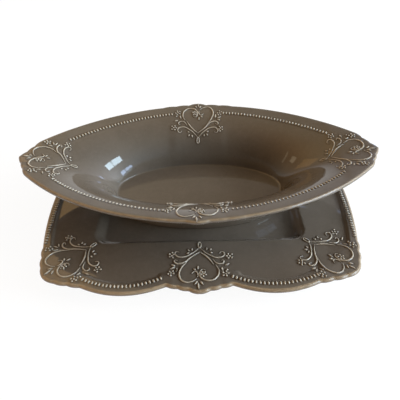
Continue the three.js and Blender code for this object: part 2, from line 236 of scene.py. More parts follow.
def whole_outline(quarter, columns):
    """Evenly spaced points round the outline, anticlockwise from the X axis, with their rolls."""
    back = quarter[::-1] * (-1, 1, 1)
    half = np.vstack((quarter, back[1:]))
    front = half[::-1] * (1, -1, 1)
    around = np.vstack((half, front[1:]))
    lengths = run_lengths(around[:, :2])
    even = np.linspace(0, lengths[-1], columns, endpoint=False)
    return np.column_stack([np.interp(even, lengths, around[:, i]) for i in range(3)])


def outward(outline):
    """Normals of a closed outline in plan."""
    along = np.roll(outline, -1, axis=0) - np.roll(outline, 1, axis=0)
    return unit(np.column_stack((along[:, 1], -along[:, 0])))


def dish_outline():
    def arc_half_width(x):
        return np.sqrt(arc_radius**2 - x**2) - arc_set_back

    end = half_crest(DISH_END_CREST, lambda y: shoulder_x)[:, (1, 0, 2)]
    side = half_crest(DISH_SIDE_CREST, arc_half_width)[::-1]
    run = np.linspace(end[-1, 0], side[0, 0], 4 * CURVE_STEPS)
    arc = plain_run(np.column_stack((run, arc_half_width(run))))
    return whole_outline(np.vstack((end, arc[1:], side[1:])), DISH_COLUMNS)


def platter_outline():
    tip = np.array((PLATTER_LENGTH / 2 - CORNER_IN_X, PLATTER_DEPTH / 2 - CORNER_IN_Y))
    axis = unit(np.array((1.0, 1.0)))
    across = unit(np.array((1.0, -1.0)))
    half = half_crest(PLATTER_CORNER_CREST, lambda x: -PLATTER_CORNER_CREST[2])

    def turned(side):
        plan = tip + np.outer(half[:, 1], axis) + side * np.outer(half[:, 0], across)
        return np.column_stack((plan, half[:, 2]))

    lower = turned(1)[::-1]
    upper = turned(-1)
    mid_line = PLATTER_DEPTH / 2 - PLATTER_MID_CREST[2]
    mid = half_crest(PLATTER_MID_CREST, lambda x: mid_line)[::-1]
    side_cusp = lower[0, :2]
    side_bulge = PLATTER_LENGTH / 2 - side_cusp[0]
    side = plain_run(swell(side_cusp, side_cusp * (1, -1), side_bulge, 4 * CURVE_STEPS))
    half_side = side[: 2 * CURVE_STEPS + 1][::-1]
    scallop = plain_run(swell(mid[0, :2], upper[-1, :2], SCALLOP_BULGE, 2 * CURVE_STEPS))[::-1]
    quarter = np.vstack((half_side, lower[1:], upper[1:], scallop[1:], mid[1:]))
    return whole_outline(quarter, PLATTER_COLUMNS)


# Surfaces


def dish_floor_radius(c, s, grow=0.0):
    half_length = FLOOR_LENGTH / 2 + grow
    half_width = FLOOR_WIDTH / 2 + grow
    return half_length * half_width / np.hypot(half_width * c, half_length * s)


def dish_reach(c, s):
    """Floor edge out to the side arcs, rounded where they would cross."""
    half_chord = np.sqrt(arc_radius**2 - (arc_set_back * c) ** 2)
    return half_chord - arc_set_back * np.hypot(s, TIP_ROUNDING) - dish_floor_radius(c, s)


def lift(spring, station):
    return station * (1 + spring) / (station + spring)


def steepness(spring, station):
    return spring * (1 + spring) / (station + spring) ** 2


def dish_top(plan):
    """Height of the dish's inside over points in plan."""
    radius = np.maximum(np.linalg.norm(plan, axis=-1), 1e-6)
    c, s = plan[..., 0] / radius, plan[..., 1] / radius
    reach = dish_reach(c, s)
    station = np.maximum((radius - dish_floor_radius(c, s)) / reach, -WALL_SPRING / 2)
    plain = DISH_DEPTH * lift(WALL_SPRING, station)
    inside = 1 - BAND_WIDTH / reach
    banded = (DISH_DEPTH - BAND_RISE) * lift(BAND_SPRING, np.minimum(station, inside) / inside)
    banded = banded + BAND_RISE * np.maximum(station - inside, 0) / (1 - inside)
    along = np.abs(plan[..., 0])
    share = smooth(along, BAND_FROM - BAND_FADE, BAND_FROM + BAND_FADE)
    share = share * (1 - smooth(along, BAND_TO - BAND_FADE, BAND_TO + BAND_FADE))
    height = plain + (banded - plain) * share
    eased = (np.clip(height, -FLOOR_FILLET, FLOOR_FILLET) + FLOOR_FILLET) ** 2 / (4 * FLOOR_FILLET)
    return dish_floor_z + np.where(height > FLOOR_FILLET, height, eased)


def well_radius(c, s, inset, corner):
    """Radius of the well's rounded rectangle in a direction."""
    half_length = FLOOR_LENGTH / 2 + DISH_FOOT_STEP + WELL_END_PLAY + WELL_LEAN - inset
    half_depth = FLOOR_WIDTH / 2 + DISH_FOOT_STEP + WELL_SIDE_PLAY + WELL_LEAN - inset
    c, s = np.maximum(np.abs(c), 1e-9), np.maximum(np.abs(s), 1e-9)
    to_end, to_side = half_length / c, half_depth / s
    x, y = half_length - corner, half_depth - corner
    along = c * x + s * y
    round_corner = along + np.sqrt(np.maximum(along**2 - x**2 - y**2 + corner**2, 0))
    straight = np.where(to_side * c <= x, to_side, round_corner)
    return np.where(to_end * s <= y, to_end, straight)


# Bodies


def lip_rings(edge, normals, radius, top, worn_edge):
    """Rings round a half-round lip, from its top to its underside, and how worn each is."""
    middle, width = worn_edge
    rings = []
    worn = []
    for turn in np.linspace(math.pi / 2, -math.pi / 2, LIP_STEPS + 1):
        plan = edge + normals * radius * math.cos(turn)
        rings.append(stack(plan, top - radius * (1 - math.sin(turn))))
        worn.append(math.exp(-(((turn - middle) / width) ** 2)))
    return rings, worn


def foot_rings(rays, outer, inner, top_z, foot_z, inside_z):
    walls = (
        (outer, top_z),
        (outer, foot_z + FOOT_BEVEL),
        (outer - FOOT_BEVEL * 0.3, foot_z + FOOT_BEVEL * 0.3),
        (outer - FOOT_BEVEL, foot_z),
        (inner + FOOT_BEVEL, foot_z),
        (inner + FOOT_BEVEL * 0.3, foot_z + FOOT_BEVEL * 0.3),
        (inner, foot_z + FOOT_BEVEL),
        (inner, inside_z - FOOT_BEVEL),
        (inner - FOOT_BEVEL, inside_z),
    )
    return [stack(rays * radius[:, None], z) for radius, z in walls]


def wrapped(name, rings, worn):
    """A grid laid on rings of points, with its seam and both ends closed."""
    rings = np.array(rings)
    rows, columns = rings.shape[:2]
    deselect_all()
    bpy.ops.mesh.primitive_grid_add(x_subdivisions=columns, y_subdivisions=rows - 1, size=2)
    body = bpy.context.object
    body.name = name
    body.data.name = name
    grid = vertex_positions(body)
    column = np.rint((grid[:, 0] + 1) / 2 * columns).astype(int) % columns
    row = np.rint((grid[:, 1] + 1) / 2 * (rows - 1)).astype(int)
    place_vertices(body, rings[row, column] * MM)
    write_attribute(body, "worn_lip", np.array(worn)[row])
    bpy.ops.object.mode_set(mode="EDIT")
    bpy.ops.mesh.select_all(action="SELECT")
    bpy.ops.mesh.remove_doubles(threshold=WELD)
    bpy.ops.mesh.normals_make_consistent(inside=False)
    bpy.ops.object.mode_set(mode="OBJECT")
    bpy.ops.object.shade_smooth()
    return body


def eased_stations(rows, bias):
    """Shares from 0 to 1 that start in small steps and end in steps bias times as large."""
    return (bias ** np.linspace(0, 1, rows + 1) - 1) / (bias - 1)


def roll_of(outline, inset, height):
    return height * outline[:, 2] * np.exp(-inset / ROLL_REACH)


def dish_body():
    outline = dish_outline()
    normals = outward(outline[:, :2])
    edge = outline[:, :2] - normals * DISH_LIP / 2
    distance = np.linalg.norm(edge, axis=1)
    rays = edge / distance[:, None]
    c, s = rays.T
    floor = dish_floor_radius(c, s)
    reach = dish_reach(c, s)
    middle = np.zeros_like(edge)
    rings = [stack(middle, dish_floor_z)]
    for share in (0.5, 0.85, 0.94, 0.97, 0.985):
        plan = rays * (floor * share)[:, None]
        rings.append(stack(plan, dish_top(plan)))
    for share in eased_stations(FLANGE_ROWS, 5):
        radius = floor + (distance - floor) * share
        plan = rays * radius[:, None]
        rings.append(stack(plan, dish_top(plan) + roll_of(outline, distance - radius, DISH_ROLL)))
    worn = [0.0] * len(rings)
    top = rings.pop()[:, 2]
    lip, lip_worn = lip_rings(edge, normals, DISH_LIP / 2, top, DISH_LIP_EDGE)
    worn.pop()
    rings += lip
    worn += lip_worn
    for station in eased_stations(OUTSIDE_ROWS, 8)[:0:-1] * 0.95:
        plan = rays * (floor + reach * station)[:, None]
        up = DISH_DEPTH * steepness(WALL_SPRING, station)
        slant = np.hypot(reach, up)
        out = plan + rays * (DISH_WALL * up / slant)[:, None]
        rings.append(stack(out, dish_top(plan) - DISH_WALL * reach / slant))
    outer = dish_floor_radius(c, s, DISH_FOOT_STEP)
    inner = dish_floor_radius(c, s, DISH_FOOT_STEP - DISH_FOOT_WIDTH)
    shoulder_z = dish_under_z + DISH_FLOOR_WALL / 2
    rings += foot_rings(rays, outer, inner, shoulder_z, dish_low.z, dish_under_z)
    rings.append(stack(middle, dish_under_z))
    worn += [0.0] * (len(rings) - len(worn))
    return wrapped("dish_body", rings, worn)


def nearest_edge(outline):
    """Search tree over the outline's points."""
    tree = KDTree(len(outline))
    for i, (x, y, _) in enumerate(outline):
        tree.insert((x, y, 0), i)
    tree.balance()
    return tree


def platter_border(outline):
    """Where the raised border starts and is level again, inside each point of the outline."""
    x, y = np.abs(outline[:, :2]).T
    tip = np.array((PLATTER_LENGTH / 2 - CORNER_IN_X, PLATTER_DEPTH / 2 - CORNER_IN_Y))
    lobe, ripple = PLATTER_CORNER_CREST[:2]
    half_width = lobe + 2 * ripple
    from_corner = np.linalg.norm(np.column_stack((x, y)) - tip, axis=1)
    corner = 1 - smooth(from_corner, half_width - 10, half_width + 4)
    lobe, ripple = PLATTER_MID_CREST[:2]
    half_width = lobe + 2 * ripple
    mid = (1 - smooth(x, half_width - 8, half_width + 4)) * (y > PLATTER_DEPTH / 4)
    crest = np.maximum(corner, mid)
    short_side = smooth(x / PLATTER_LENGTH - y / PLATTER_DEPTH, 0.1, 0.2)
    pearl = LONG_PEARL_INSET + (SHORT_PEARL_INSET - LONG_PEARL_INSET) * short_side
    crown = pearl + 2 - crest * (pearl - 1)
    return crown + BORDER_SLOPE + (CREST_SLOPE - BORDER_SLOPE) * crest, crown


def platter_body():
    outline = platter_outline()
    normals = outward(outline[:, :2])
    edge = outline[:, :2] - normals * PLATTER_LIP / 2
    distance = np.linalg.norm(edge, axis=1)
    rays = edge / distance[:, None]
    c, s = rays.T
    start, crown = platter_border(outline)
    tree = nearest_edge(outline)
    middle = np.zeros_like(edge)

    def flange_height(plan):
        found = [tree.find((x, y, 0)) for x, y in plan]
        index = np.array([hit[1] for hit in found])
        inset = np.array([hit[2] for hit in found])
        rise = smooth(-inset, -start[index], -crown[index])
        return flange_z + BORDER_RISE * rise + roll_of(outline[index], inset, PLATTER_ROLL)

    def well_ring(inset, z):
        corner = WELL_CORNER - np.clip(inset, -WELL_LEAN, WELL_LEAN) / 2
        return stack(rays * well_radius(c, s, inset, corner)[:, None], z)

    rings = [stack(middle, well_floor_z)]
    for inset in (60, 30, 16):
        rings.append(well_ring(inset, well_floor_z))
    for share in np.linspace(0, 1, 15):
        inset = WELL_LEAN + 3 - share * (WELL_LEAN + 7)
        rings.append(well_ring(inset, well_floor_z + WELL_SINK * smooth(share, 0.12, 0.88)))
    shoulder = well_radius(c, s, -4, WELL_CORNER + 2)
    for share in np.linspace(0, 1, FLANGE_ROWS - 15)[1:]:
        plan = rays * (shoulder + (distance - shoulder) * share)[:, None]
        rings.append(stack(plan, flange_height(plan)))
    worn = [0.0] * len(rings)
    top = rings.pop()[:, 2]
    lip, lip_worn = lip_rings(edge, normals, PLATTER_LIP / 2, top, PLATTER_LIP_EDGE)
    worn.pop()
    rings += lip
    worn += lip_worn
    under = lip[-1]
    under_z = flange_z - PLATTER_WALL
    well_outside = well_radius(c, s, -PLATTER_WALL, WELL_CORNER + 2)
    for share in np.linspace(0, 1, 10)[1:]:
        plan = under[:, :2] * (1 - share) + rays * (well_outside * share)[:, None]
        rings.append(stack(plan, under_z + (under[:, 2] - under_z) * (1 - smooth(share, 0, 0.5))))
    outer = well_radius(c, s, WELL_LEAN + PLATTER_FOOT_INSET, PLATTER_FOOT_CORNER)
    foot_in = WELL_LEAN + PLATTER_FOOT_INSET + PLATTER_FOOT_WIDTH
    inner = well_radius(c, s, foot_in, PLATTER_FOOT_CORNER / 2)
    for share in np.linspace(0, 1, 8)[1:]:
        inset = -PLATTER_WALL + share * (PLATTER_WALL + WELL_LEAN + PLATTER_FOOT_INSET - 0.5)
        drop = under_z - (under_z - PLATTER_FOOT_HEIGHT) * smooth(share, 0, 0.8)
        rings.append(well_ring(inset, drop))
    rings += foot_rings(rays, outer, inner, PLATTER_FOOT_HEIGHT, platter_low.z, PLATTER_FOOT_HEIGHT)
    rings.append(stack(middle, PLATTER_FOOT_HEIGHT))
    worn += [0.0] * (len(rings) - len(worn))
    return wrapped("platter_body", rings, worn)


# Ornament and pearls

STROKE_HEIGHT = 0.9
PEARL_SIZE = (2.3, 4.0, 2.2)  # along the row, across it, and height of the whole bead
PEARL_PITCH = 3.62
BERRY = 1.15
LEAF_STRETCH = 1.4  # of the drawn length, so that a leaf's tip shows
ORNAMENT_REACH = 62
POOL_SHADE_REACH = 1.1  # glaze pools, and crease shade is painted, this far round the relief

# Strokes of the heart ornament: across its axis and out from its eyelet
EYELET = ((0, 7), (1.5, 4), (1.3, 1.4), (0.2, 0), (-0.9, 1.3), (-1.2, 4))
STROKES = (
    ((0, 7), (-7, 13.8), (-16.5, 18.6), (-22.8, 16.4), (-23.2, 11.8), (-19.5, 12.4)),
    ((0, 7), (9.5, 16.3), (19, 19.9), (24.4, 16), (21.8, 12.6), (19.2, 15)),
    ((0.2, 12.4), (-8, 18.5), (-16.5, 25.9), (-23, 25.6), (-24, 22.3), (-20.9, 23)),
    ((-11.9, 23.9), (-17.6, 33), (-18.7, 42), (-14, 48.9), (-7, 48.6), (-2.7, 45.3)),
    ((0.2, 12.4), (7.4, 18.9), (13.4, 28.2)),
    ((12.5, 21.5), (17.5, 27.3), (23, 25.9), (22.6, 23.2), (20.8, 23.8)),
    ((15.3, 28.8), (18.1, 36.5), (15.2, 45), (8.6, 47.9), (1.8, 44.6), (0.3, 38), (3.4, 33.9),
     (5.4, 35.6)),
    ((-1.8, 43.6), (-1.6, 39.6), (-4, 36.5), (-7.4, 39)),
)
STROKE_WIDTHS = (1.7, 1.7, 1.9, 2.0, 1.9, 1.6, 2.0, 1.6)

# Leaves from their stalk to their tip
LEAVES = (
    ((-3.2, 35.4), (-5.5, 33.4)), ((-1.5, 34.3), (-1.5, 30.2)),
    ((-1.7, 47.9), (-4, 51.4)), ((-1.5, 49), (-0.8, 56)), ((0.5, 48.2), (2.8, 51.8)),
    ((-7.6, 11), (-7.2, 8.4)), ((-9.5, 11.5), (-11.4, 9.3)), ((-9.6, 13.4), (-12.3, 14)),
    ((7.2, 10.7), (7, 7.7)), ((10, 11.1), (11.5, 8.8)), ((10, 13.3), (12.2, 13.8)),
    ((-22.8, 29.6), (-26.6, 27.7)), ((-22.8, 30.2), (-27.3, 32.4)), ((-21.2, 30.8), (-21.9, 36.1)),
    ((23.6, 29.7), (27.4, 27.9)), ((20.4, 31.3), (21.5, 35.7)),
)

# Berries
BERRIES = (
    (2.4, 37.6), (4.8, 37.7), (3.8, 39.9), (5.7, 40.8), (1.8, 40.5), (3.5, 42.5),
    (-26.6, 12.9), (-29.2, 14.7), (-25.2, 15.2), (-27.1, 16.7), (-29, 17.9), (-25.9, 18.8),
    (27.9, 16), (31.3, 16.4), (26.3, 18.4), (29.2, 18.5), (31.1, 20.5), (27.8, 20.9),
    (-28, 35.9), (-25.2, 35.7), (-26.9, 38.2), (-24.3, 38.5), (-29.2, 39.5), (-26.8, 41.6),
    (25.9, 35), (21.9, 38.9), (24.8, 37.3), (26.7, 39.9), (24.3, 40.7), (22, 42.4), (25, 43.1),
)


def stroke(points, width, closed=False):
    """A round tapered line along the points, in the flat."""
    deselect_all()
    bpy.ops.curve.primitive_bezier_curve_add()
    line = bpy.context.object
    spline = line.data.splines[0]
    spline.bezier_points.add(len(points) - 2)
    spline.use_cyclic_u = closed
    for i, (knot, (x, y)) in enumerate(zip(spline.bezier_points, points)):
        knot.co = (x * MM, y * MM, 0)
        share = i / (len(points) - 1)
        knot.radius = 1 if closed else 0.55 + 0.45 * math.sin(math.pi * min(share * 1.1, 1))
    bpy.ops.object.mode_set(mode="EDIT")
    bpy.ops.curve.select_all(action="SELECT")
    bpy.ops.curve.handle_type_set(type="AUTOMATIC")
    bpy.ops.object.mode_set(mode="OBJECT")
    line.data.dimensions = "3D"
    line.data.resolution_u = 7
    line.data.bevel_depth = width / 2 * MM
    line.data.bevel_resolution = 2
    line.data.use_fill_caps = True
    bpy.ops.object.convert(target="MESH")
    flat = vertex_positions(line)
    flat[:, 2] *= STROKE_HEIGHT / (width / 2)
    place_vertices(line, flat)
    return line


def bead(name, size, segments, rings):
    """A round bead of a given length, width and height at the origin."""
    deselect_all()
    bpy.ops.mesh.primitive_uv_sphere_add(segments=segments, ring_count=rings, radius=0.5)
    made = bpy.context.object
    made.name = name
    made.data.transform(Matrix.Diagonal((*(Vector(size) * MM), 1)))
    return made


def copy_of(piece, place):
    """A copy with its own mesh, moved by a matrix."""
    twin = piece.copy()
    twin.data = piece.data.copy()
    twin.data.transform(place)
    bpy.context.collection.objects.link(twin)
    return twin


def leaf():
    """A leaf a unit long from its stalk, with a pointed tip."""
    made = bead("leaf", (1000, 1.9, 1.9), 10, 6)
    flat = vertex_positions(made)
    along = flat[:, 0] + 0.5
    narrow = 0.75 + 0.5 * np.sin(math.pi * along) - 0.45 * along
    place_vertices(made, np.column_stack((along, flat[:, 1] * narrow, flat[:, 2] * narrow)))
    return made


def flat_ornament():
    """The whole ornament in the flat, as one mesh."""
    parts = [stroke(EYELET, 1.3, closed=True)]
    for points, width in zip(STROKES, STROKE_WIDTHS):
        parts.append(stroke(points, width))
    pattern = leaf()
    for stalk, tip in LEAVES:
        start = Vector((*stalk, 0)) * MM
        run = Vector((*tip, 0)) * MM - start
        turn = Matrix.Rotation(math.atan2(run.y, run.x), 4, "Z")
        stretch = Matrix.Diagonal((run.length * LEAF_STRETCH, 1, 1, 1))
        parts.append(copy_of(pattern, Matrix.Translation(start) @ turn @ stretch))
    bpy.data.objects.remove(pattern)
    berry = bead("berry", (2 * BERRY, 2 * BERRY, 2 * BERRY), 8, 5)
    for x, y in BERRIES:
        parts.append(copy_of(berry, Matrix.Translation((x * MM, y * MM, 0))))
    bpy.data.objects.remove(berry)
    return join(parts, "heart_ornament")


def surface_of(body):
    """Search tree over a body's faces."""
    polygons = [tuple(face.vertices) for face in body.data.polygons]
    return BVHTree.FromPolygons([v.co for v in body.data.vertices], polygons)


def drape(surface, plan):
    """Points of the top surface under points in plan, and the normals there, in metres."""
    above = dish_high.z * 2 * MM
    points = np.empty((len(plan), 3))
    normals = np.empty((len(plan), 3))
    for i, (x, y) in enumerate(plan * MM):
        hit, normal, _, _ = surface.ray_cast((x, y, above), (0, 0, -1))
        points[i] = hit
        normals[i] = normal
    return points, normals


def lay_ornament(pattern, name, surface, start, out):
    """A copy of the ornament laid on a surface from its eyelet's place, pointing out."""
    out = unit(np.array(out, float))
    across = np.array((-out[1], out[0]))
    steps = np.arange(0, ORNAMENT_REACH, 0.5)
    path, _ = drape(surface, np.array(start) + steps[:, None] * out)
    lengths = run_lengths(path) / MM
    flat = vertex_positions(pattern) / MM
    out_plan = np.interp(flat[:, 1], lengths, steps)
    plan = np.array(start) + out_plan[:, None] * out + flat[:, :1] * across
    points, normals = drape(surface, plan)
    made = copy_of(pattern, Matrix.Identity(4))
    made.name = name
    made.data.name = name
    place_vertices(made, points + normals * flat[:, 2:] * MM)
    write_attribute(made, "thin_glaze", smooth(flat[:, 2], 0.15, 0.75))
    # The relief's foot darkens: pooled glaze and painted crease shade
    write_attribute(made, "pool_and_crease_shade", 1 - smooth(flat[:, 2], -0.1, 0.5))
    take(made)
    bpy.ops.object.shade_smooth()
    return made


def pearl_row(name, surface, path):
    """A row of pearls, evenly spaced along a path in plan."""
    lengths = run_lengths(path)
    count = round(lengths[-1] / PEARL_PITCH)
    even = np.linspace(0, lengths[-1], count + 1)
    plan = np.column_stack([np.interp(even, lengths, path[:, i]) for i in range(2)])
    points, normals = drape(surface, plan)
    along = unit(np.gradient(points, axis=0))
    pattern = bead("pearl", PEARL_SIZE, 10, 6)
    height = vertex_positions(pattern)[:, 2] / MM
    write_attribute(pattern, "thin_glaze", smooth(height, 0.15, 0.9))
    # The pearl's foot darkens: pooled glaze and painted crease shade
    write_attribute(pattern, "pool_and_crease_shade", 1 - smooth(height, -0.2, 0.6))
    pearls = []
    for point, normal, run in zip(points, normals, along):
        up = Vector(normal)
        side = up.cross(Vector(run)).normalized()
        turn = Matrix((side.cross(up), side, up)).transposed().to_4x4()
        pearls.append(copy_of(pattern, Matrix.Translation(point) @ turn))
    bpy.data.objects.remove(pattern)
    row = join(pearls, name)
    take(row)
    bpy.ops.object.shade_smooth()
    return row


def paint_pool_and_crease_shade(body, reliefs):
    """Darkens the glaze that lies against the relief: pooled glaze, and painted shade in the creases
    there.
    """
    roots = np.vstack([vertex_positions(piece)[::3] for piece in reliefs])
    tree = KDTree(len(roots))
    for i, point in enumerate(roots):
        tree.insert(point, i)
    tree.balance()
    far = np.array([tree.find(v.co)[2] for v in body.data.vertices]) / MM
    write_attribute(body, "pool_and_crease_shade", np.exp(-((far / POOL_SHADE_REACH) ** 2)))


# Finishes

GLAZE_DEEP = (0.094, 0.075, 0.056)
GLAZE_LIGHT = (0.106, 0.085, 0.064)
GLAZE_MOTTLE = (0.120, 0.097, 0.074)
GLAZE_SPECK = (0.050, 0.038, 0.028)
# Pooled glaze against the relief, darker still with painted crease shade
GLAZE_POOL_SHADE = (0.040, 0.030, 0.022)
GLAZE_THIN = (0.40, 0.345, 0.265)
LIP_TAN = (0.28, 0.205, 0.125)
GLAZE_IOR = 1.52
CLAY_DARK = (0.42, 0.36, 0.29)
CLAY_PALE = (0.56, 0.50, 0.42)
CLAY_STAIN = (0.33, 0.27, 0.21)


def add_node(tree, kind, settings=None, **links):
    node = tree.nodes.new(kind)
    for name, value in (settings or {}).items():
        if name in node.inputs:
            node.inputs[name].default_value = value
        else:
            setattr(node, name, value)
    for name, socket in links.items():
        tree.links.new(socket, node.inputs[name.replace("_", " ")])
    return node


def noise(tree, where, scale, detail, roughness=0.5):
    settings = {"Scale": scale, "Detail": detail, "Roughness": roughness}
    return add_node(tree, "ShaderNodeTexNoise", settings, Vector=where).outputs["Fac"]


def ranged(tree, value, low, high, to_low=0.0, to_high=1.0):
    settings = {"From Min": low, "From Max": high, "To Min": to_low, "To Max": to_high}
    settings["interpolation_type"] = "SMOOTHSTEP"
    return add_node(tree, "ShaderNodeMapRange", settings, Value=value).outputs["Result"]


def math_node(tree, operation, first, second):
    node = add_node(tree, "ShaderNodeMath", {"operation": operation})
    for i, value in enumerate((first, second)):
        if isinstance(value, (int, float)):
            node.inputs[i].default_value = value
        else:
            tree.links.new(value, node.inputs[i])
    return node.outputs[0]


def mixed(tree, share, first, second):
    node = add_node(tree, "ShaderNodeMix", {"data_type": "RGBA"})
    tree.links.new(share, node.inputs["Factor"])
    for i, colour in ((6, first), (7, second)):
        if isinstance(colour, tuple):
            node.inputs[i].default_value = (*colour, 1)
        else:
            tree.links.new(colour, node.inputs[i])
    return node.outputs[2]


def new_material(name):
    material = bpy.data.materials.new(name)
    material.use_nodes = True
    tree = material.node_tree
    where = add_node(tree, "ShaderNodeTexCoord").outputs["Object"]
    return material, tree, tree.nodes["Principled BSDF"], where


def taupe_glaze():
    material, tree, shader, where = new_material("taupe_glaze")
    thin = add_node(tree, "ShaderNodeAttribute", {"attribute_name": "thin_glaze"}).outputs["Fac"]
    pool_shade_share = add_node(tree, "ShaderNodeAttribute", {"attribute_name": "pool_and_crease_shade"}).outputs["Fac"]
    lip = add_node(tree, "ShaderNodeAttribute", {"attribute_name": "worn_lip"}).outputs["Fac"]
    cloud = noise(tree, where, 24, 3)
    mottle = noise(tree, where, 240, 3)
    speck = noise(tree, where, 900, 1)
    colour = mixed(tree, ranged(tree, cloud, 0.36, 0.64), GLAZE_DEEP, GLAZE_LIGHT)
    colour = mixed(tree, ranged(tree, mottle, 0.4, 0.75, 0, 0.35), colour, GLAZE_MOTTLE)
    colour = mixed(tree, ranged(tree, speck, 0.70, 0.76, 0, 0.5), colour, GLAZE_SPECK)
    # Pooled glaze and painted crease shade round the relief
    colour = mixed(tree, math_node(tree, "MULTIPLY", pool_shade_share, 0.6), colour, GLAZE_POOL_SHADE)
    bare = math_node(tree, "MULTIPLY", thin, ranged(tree, mottle, 0.3, 0.7, 0.7, 1.0))
    colour = mixed(tree, bare, colour, GLAZE_THIN)
    worn = math_node(tree, "MULTIPLY", lip, ranged(tree, mottle, 0.3, 0.7, 0.75, 1.0))
    colour = mixed(tree, worn, colour, LIP_TAN)
    tree.links.new(colour, shader.inputs["Base Color"])
    dull = math_node(tree, "MULTIPLY", lip, 0.16)
    rough = math_node(tree, "ADD", ranged(tree, mottle, 0.3, 0.7, 0.025, 0.05), dull)
    tree.links.new(rough, shader.inputs["Roughness"])
    shader.inputs["IOR"].default_value = GLAZE_IOR
    wave = noise(tree, where, 55, 1)
    peel = math_node(tree, "MULTIPLY", noise(tree, where, 420, 2), 0.12)
    settings = {"Strength": 0.15, "Distance": 0.0006}
    bump = add_node(tree, "ShaderNodeBump", settings, Height=math_node(tree, "ADD", wave, peel))
    tree.links.new(bump.outputs["Normal"], shader.inputs["Normal"])
    return material


def bare_clay():
    material, tree, shader, where = new_material("bare_clay")
    grain = noise(tree, where, 1500, 4)
    stain = noise(tree, where, 70, 3)
    colour = mixed(tree, ranged(tree, grain, 0.35, 0.65), CLAY_DARK, CLAY_PALE)
    colour = mixed(tree, ranged(tree, stain, 0.5, 0.75, 0, 0.5), colour, CLAY_STAIN)
    tree.links.new(colour, shader.inputs["Base Color"])
    tree.links.new(ranged(tree, grain, 0.3, 0.7, 0.7, 0.9), shader.inputs["Roughness"])
    bump = add_node(tree, "ShaderNodeBump", {"Strength": 0.5, "Distance": 0.0002}, Height=grain)
    tree.links.new(bump.outputs["Normal"], shader.inputs["Normal"])
    return material


def glaze_body(body, foot_z):
    """Glazes a body all over but for the face that it stands on."""
    body.data.materials.append(glaze)
    body.data.materials.append(clay)
    for face in body.data.polygons:
        if face.center.z / MM < foot_z + FOOT_BEVEL * 0.5 and face.normal.z < -0.6:
            face.material_index = 1


# The object

glaze = taupe_glaze()
clay = bare_clay()
dish = dish_body()
platter = platter_body()
glaze_body(dish, dish_low.z)
glaze_body(platter, platter_low.z)
dish_surface = surface_of(dish)
platter_surface = surface_of(platter)

DISH_SIDE_START = 55.2  # eyelets from the middle
DISH_END_START = 131
PLATTER_MID_START = 75.6
PLATTER_CORNER_START = (104.3, 73.3)

pattern = flat_ornament()
dish_reliefs = []
platter_reliefs = []
for name, out in (("front", (0, -1)), ("back", (0, 1)), ("left", (-1, 0)), ("right", (1, 0))):
    start = np.array(out) * (DISH_SIDE_START if out[0] == 0 else DISH_END_START)
    dish_reliefs.append(lay_ornament(pattern, f"dish_heart_{name}", dish_surface, start, out))
for name, out in (("front", (0, -1)), ("back", (0, 1))):
    start = np.array(out) * PLATTER_MID_START
    platter_reliefs.append(lay_ornament(pattern, f"platter_heart_{name}", platter_surface, start, out))
for side_name, side in (("left", -1), ("right", 1)):
    for end_name, end in (("front", -1), ("back", 1)):
        start = np.array(PLATTER_CORNER_START) * (side, end)
        name = f"platter_heart_{end_name}_{side_name}"
        platter_reliefs.append(lay_ornament(pattern, name, platter_surface, start, (side, end)))
bpy.data.objects.remove(pattern)

PEARL_FROM = 31.4  # pearls along the dish's sides, from mid length
PEARL_TO = 144
PEARL_IN = 14.2  # pearls inside the rim's arc
PEARL_DRAWN_IN = 1.9  # further in at the row's outer end
LONG_ROW_STARTS = {1: (35.5, 120), -1: (30.5, 119.6)}  # by which hand the quarter is
LONG_ROW_END = (108, 119.5)
LONG_ROW_BULGE = 8.6
SHORT_ROW_END = (155.7, 73.5)
SHORT_ROW_BULGE = 3.9

for side_name, side in (("left", -1), ("right", 1)):
    for end_name, end in (("front", -1), ("back", 1)):
        run = np.linspace(PEARL_FROM, PEARL_TO, 100)
        inset = PEARL_IN + PEARL_DRAWN_IN * (run / PEARL_TO) ** 2
        row = np.column_stack((run, np.sqrt((arc_radius - inset) ** 2 - run**2) - arc_set_back))
        name = f"dish_pearls_{end_name}_{side_name}"
        dish_reliefs.append(pearl_row(name, dish_surface, row * (side, end)))
        row = swell(LONG_ROW_STARTS[side * end], LONG_ROW_END, LONG_ROW_BULGE, 60) * (side, end)
        name = f"platter_pearls_{end_name}_{side_name}"
        platter_reliefs.append(pearl_row(name, platter_surface, row))
    low_end = np.array(SHORT_ROW_END) * (1, -1)
    row = swell(np.array(SHORT_ROW_END), low_end, SHORT_ROW_BULGE, 60) * (side, 1)
    platter_reliefs.append(pearl_row(f"platter_pearls_{side_name}", platter_surface, row))

# Pooled glaze and painted crease shade on the bodies round the relief
paint_pool_and_crease_shade(dish, dish_reliefs)
paint_pool_and_crease_shade(platter, platter_reliefs)

for body, pieces in (("dish", [dish] + dish_reliefs), ("platter", [platter] + platter_reliefs)):
    for piece in pieces:
        if not piece.data.materials:
            piece.data.materials.append(glaze)
        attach(piece, body)
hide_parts("vegetable_dish")
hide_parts("platter")


# Studio, in metres and degrees

